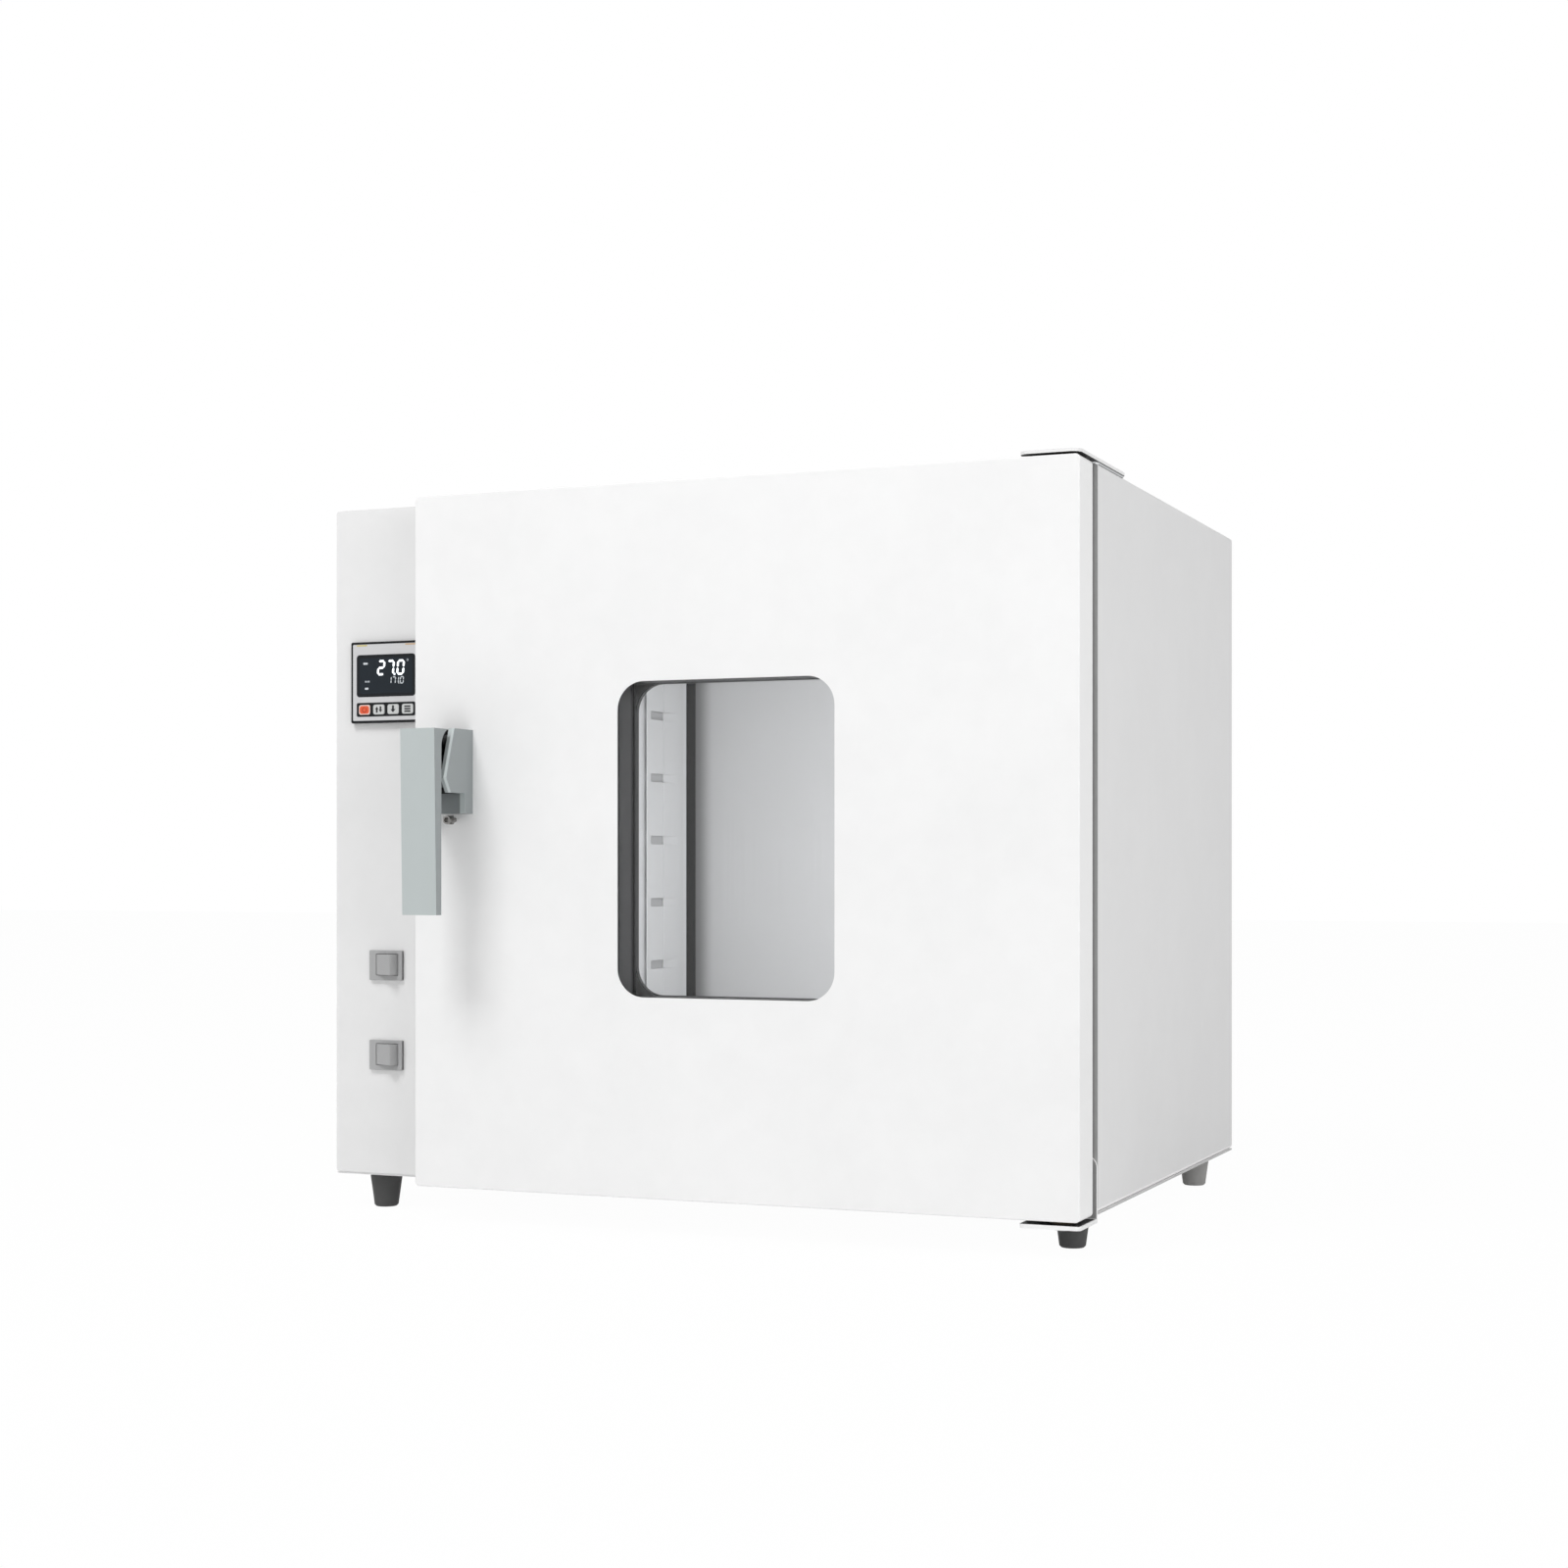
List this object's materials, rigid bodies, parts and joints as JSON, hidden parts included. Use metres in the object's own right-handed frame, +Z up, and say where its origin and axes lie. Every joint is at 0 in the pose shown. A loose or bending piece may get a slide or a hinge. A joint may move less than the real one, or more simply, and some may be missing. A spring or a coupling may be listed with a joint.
{
  "type": "drying oven",
  "caption": "Bench drying oven with a side control column, a glazed insulated door on a side hinge with a pull lever, wire shelves and a circulation fan.",
  "frame": {"origin": "on the bench, under the middle of the whole object's box", "axes": "+X to the right along the front, -Y towards the user, out of the door, +Z up"},
  "size_m": [0.71, 0.6346, 0.6665],
  "materials": {
    "white_paint": "fine powder coat, satin",
    "zinc": "bright zinc plate",
    "zinc_sheet": "galvanised sheet",
    "black_plastic": "fine texture",
    "foot_rubber": "moulded, matt",
    "mineral_wool": "loose wool",
    "stainless": "fine brushed stainless",
    "chrome_wire": "polished plate",
    "heater_sheath": "oxidised sheath",
    "silicone": "soft satin",
    "dark_silicone": "soft satin",
    "motor_paint": "black enamel",
    "aluminium": "mill finish",
    "bush_brass": "turned",
    "glass": "clear, tempered",
    "dark_paint": "dark grey, satin",
    "handle_grey": "grey powder coat",
    "lever_grey": "pale blue-grey powder coat",
    "display_glass": "smooth window",
    "switch_plastic": "fine texture",
    "white_plastic": "plain",
    "key_orange": "soft key",
    "key_grey": "soft key"
  },
  "bodies": {
    "cabinet": {"outer_shell": "white_paint", "base_pan": "white_paint", "front_frame": "white_paint", "control_panel": "white_paint", "rear_panel": "white_paint", "rear_cover": "white_paint", "cover_screws": "zinc", "cable_gland": "black_plastic", "front_feet": "foot_rubber", "rear_feet": "foot_rubber", "partition": "zinc_sheet", "insulation": "mineral_wool", "chamber_liner": "stainless", "air_baffle": "stainless", "left_rack_posts": "stainless", "right_rack_posts": "stainless", "lower_shelf": "chrome_wire", "upper_shelf": "chrome_wire", "heating_element": "heater_sheath", "temperature_probe": "stainless", "door_gasket": "silicone", "exhaust_tube": "stainless", "fan_motor": "motor_paint", "motor_bracket": "zinc_sheet", "top_hinge_plate": "white_paint", "top_hinge_spacer": "zinc", "bottom_hinge_bracket": "white_paint", "hinge_pins": "zinc", "latch_keeper": "zinc", "controller_bezel": "black_plastic", "display_lens": "display_glass", "controller_case": "black_plastic", "upper_switch_housing": "switch_plastic", "lower_switch_housing": "switch_plastic", "terminal_block": "white_plastic", "heater_relay": "aluminium"},
    "door": {"hinge_bushes": "bush_brass", "door_skin": "white_paint", "outer_glass": "glass", "window_tunnel": "dark_paint", "glass_seal": "dark_silicone", "inner_glass": "glass", "door_liner": "stainless", "door_insulation": "mineral_wool", "handle_base": "handle_grey", "handle_stud": "zinc"},
    "lever": {"handle_lever": "lever_grey", "latch_hook": "zinc"},
    "fan": {"fan_shaft": "zinc", "fan_impeller": "aluminium", "cooling_disc": "aluminium"},
    "damper": {"exhaust_damper": "black_plastic"},
    "roller": {"keeper_roller": "zinc"},
    "upper_rocker": {"upper_switch_rocker": "switch_plastic"},
    "lower_rocker": {"lower_switch_rocker": "switch_plastic"},
    "key_1": {"controller_key_1": "key_orange"},
    "key_2": {"controller_key_2": "key_grey"},
    "key_3": {"controller_key_3": "key_grey"},
    "key_4": {"controller_key_4": "key_grey"}
  },
  "joints": [
    {"name": "door_hinge", "type": "hinge", "parent": "cabinet", "child": "door", "pos_m": [0.336, -0.23615, 0.03], "axis": [0, 0, 1], "range_deg": [0, 165]},
    {"name": "lever_pull", "type": "hinge", "parent": "door", "child": "lever", "pos_m": [-0.2024, -0.28475, 0.415], "axis": [-1, 0, 0], "range_deg": [0, 35], "stiffness_Nm_per_rad": 0.4},
    {"name": "fan_spin", "type": "hinge", "parent": "cabinet", "child": "fan", "pos_m": [-0.242, -0.02675, 0.33], "axis": [1, 0, 0], "continuous": true},
    {"name": "damper_turn", "type": "hinge", "parent": "cabinet", "child": "damper", "pos_m": [0.0565, 0.07525, 0.65], "axis": [0, 0, 1], "range_deg": [0, 30]},
    {"name": "roller_spin", "type": "hinge", "parent": "cabinet", "child": "roller", "pos_m": [-0.247, -0.24475, 0.402], "axis": [1, 0, 0], "continuous": true},
    {"name": "upper_rocker_tilt", "type": "hinge", "parent": "cabinet", "child": "upper_rocker", "pos_m": [-0.3003, -0.20395, 0.2199], "axis": [0, 0, 1], "range_deg": [0, 44]},
    {"name": "lower_rocker_tilt", "type": "hinge", "parent": "cabinet", "child": "lower_rocker", "pos_m": [-0.3003, -0.20395, 0.1393], "axis": [0, 0, 1], "range_deg": [0, 44]},
    {"name": "key_1_press", "type": "slide", "parent": "cabinet", "child": "key_1", "axis": [0, 1, 0], "range_m": [0, 0.0008], "stiffness_N_per_m": 800},
    {"name": "key_2_press", "type": "slide", "parent": "cabinet", "child": "key_2", "axis": [0, 1, 0], "range_m": [0, 0.0008], "stiffness_N_per_m": 800},
    {"name": "key_3_press", "type": "slide", "parent": "cabinet", "child": "key_3", "axis": [0, 1, 0], "range_m": [0, 0.0008], "stiffness_N_per_m": 800},
    {"name": "key_4_press", "type": "slide", "parent": "cabinet", "child": "key_4", "axis": [0, 1, 0], "range_m": [0, 0.0008], "stiffness_N_per_m": 800}
  ]
}
